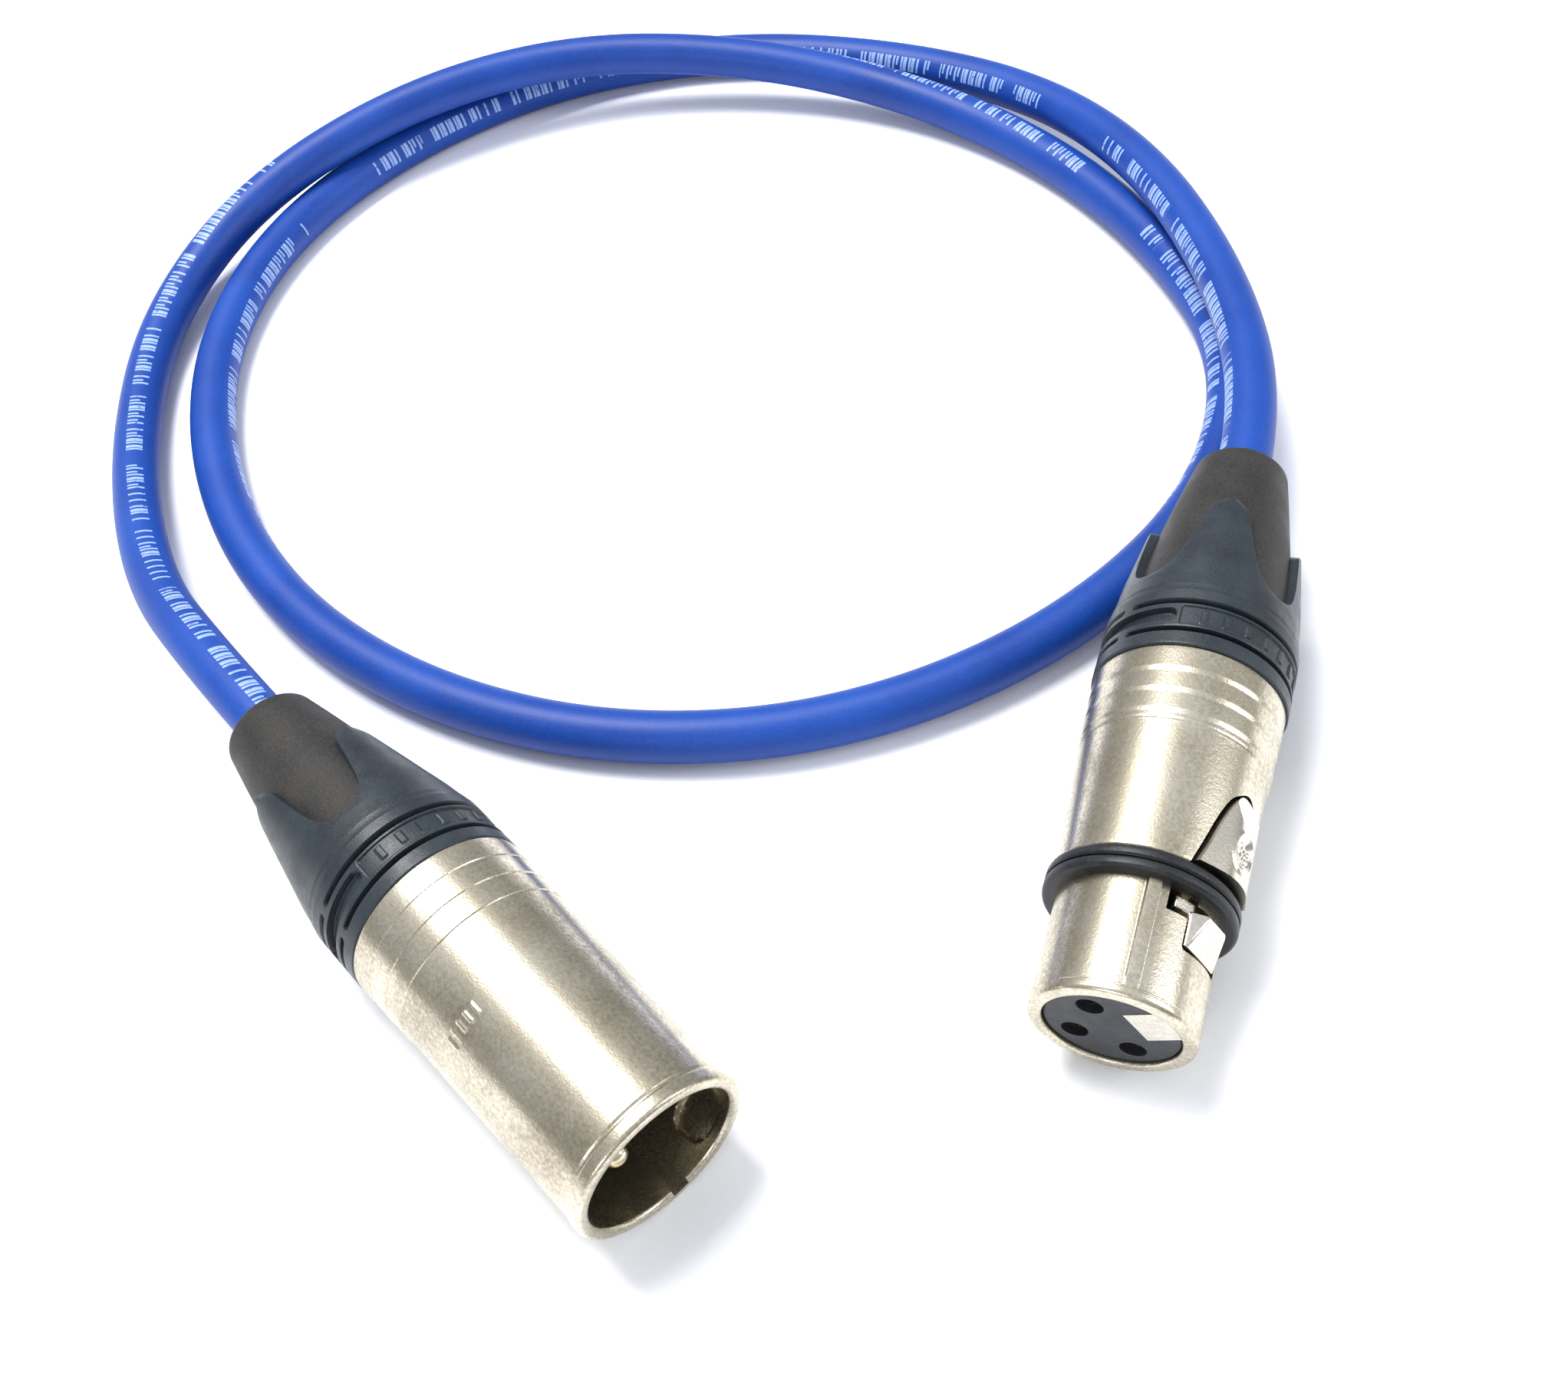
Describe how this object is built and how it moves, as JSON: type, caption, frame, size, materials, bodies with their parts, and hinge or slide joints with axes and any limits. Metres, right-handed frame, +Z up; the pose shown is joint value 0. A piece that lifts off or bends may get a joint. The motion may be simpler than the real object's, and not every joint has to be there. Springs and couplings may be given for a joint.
{
  "type": "microphone cable with xlr connectors",
  "caption": "Loosely coiled blue microphone cable with a male and a female XLR connector; the female one has a sprung push latch.",
  "frame": {"origin": "on the surface that the cable lies on, below the middle of the box around the two connectors", "axes": "+Z up; the connectors' mouths face -Y and the cable's loop lies behind them towards +Y; +X runs from the male to the female connector"},
  "size_m": [0.1515, 0.1978, 0.0204],
  "materials": {
    "nickel": "satin nickel plate on a fine cast grain",
    "nickel_bright": "bright nickel plate",
    "contact_metal": "plated contact metal, polished",
    "spring_steel": "drawn wire",
    "insert_plastic": "moulded, fine matt",
    "chuck_plastic": "moulded, matt",
    "collar_plastic": "moulded blue-grey, satin",
    "sleeve_rubber": "warm dark grey, matt",
    "ring_rubber": "black, satin",
    "jacket": "blue jacket, matt, with pale print marks",
    "wire_red": "insulated core",
    "wire_white": "insulated core",
    "wire_shield": "twisted bare copper screen"
  },
  "bodies": {
    "root": {"cable": "jacket", "female_chuck": "chuck_plastic", "female_collar": "collar_plastic", "female_contact_1": "contact_metal", "female_contact_2": "contact_metal", "female_contact_3": "contact_metal", "female_ground_contact": "spring_steel", "female_insert": "insert_plastic", "female_jacket_end": "jacket", "female_key_block": "nickel_bright", "female_latch_pin": "spring_steel", "female_latch_spring": "spring_steel", "female_ring": "ring_rubber", "female_shell": "nickel", "female_sleeve": "sleeve_rubber", "female_wire_1": "wire_shield", "female_wire_2": "wire_red", "female_wire_3": "wire_white", "male_chuck": "chuck_plastic", "male_collar": "collar_plastic", "male_ground_contact": "spring_steel", "male_insert": "insert_plastic", "male_jacket_end": "jacket", "male_pin_1": "contact_metal", "male_pin_2": "contact_metal", "male_pin_3": "contact_metal", "male_shell": "nickel", "male_sleeve": "sleeve_rubber", "male_wire_1": "wire_shield", "male_wire_2": "wire_red", "male_wire_3": "wire_white"},
    "latch": {"female_latch_lever": "nickel_bright"}
  },
  "joints": [
    {"name": "latch_hinge", "type": "hinge", "parent": "root", "child": "latch", "pos_m": [0.02917, -0.02717, 0.01171], "axis": [-0.5003, 0.2166, 0.8383], "range_deg": [0, 6], "stiffness_Nm_per_rad": 0.4, "springref_deg": -8.59, "deforming": ["female_latch_spring"]}
  ]
}
